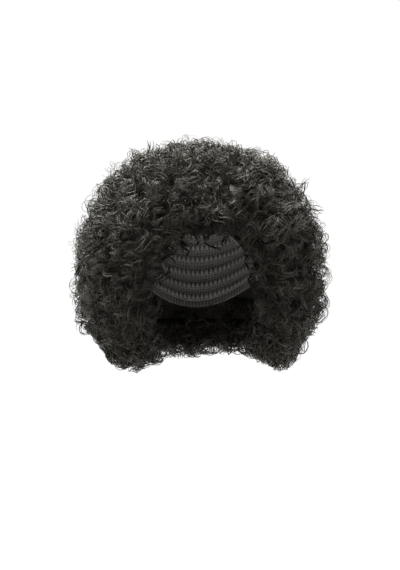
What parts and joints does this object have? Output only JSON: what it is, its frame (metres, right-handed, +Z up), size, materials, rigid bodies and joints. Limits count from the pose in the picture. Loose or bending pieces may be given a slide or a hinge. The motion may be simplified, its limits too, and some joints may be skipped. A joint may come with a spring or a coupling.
{
  "type": "clown wig",
  "caption": "Big round curly clown wig on a stretch cap with an elastic edge, open at the face and neck, with side lobes that hang beside the cheeks.",
  "frame": {"origin": "the crown point inside the cap, where the top of the head touches it", "axes": "+Z up, -Y towards the face opening, +X to the right when looking at the face opening"},
  "size_m": [0.3214, 0.322, 0.2902],
  "materials": {
    "hair": "near-black curly synthetic fibre with a soft grey sheen",
    "cap_net": "black stretch net, matt",
    "elastic": "black ribbed elastic, matt"
  },
  "bodies": {
    "root": {"cap": "cap_net", "edge_band": "elastic", "weft_row_1": "hair", "weft_row_2": "hair", "weft_row_3": "hair", "weft_row_4": "hair", "weft_row_5": "hair", "weft_row_6": "hair", "weft_row_7": "hair", "weft_row_8": "hair", "weft_row_9": "hair"}
  },
  "joints": []
}
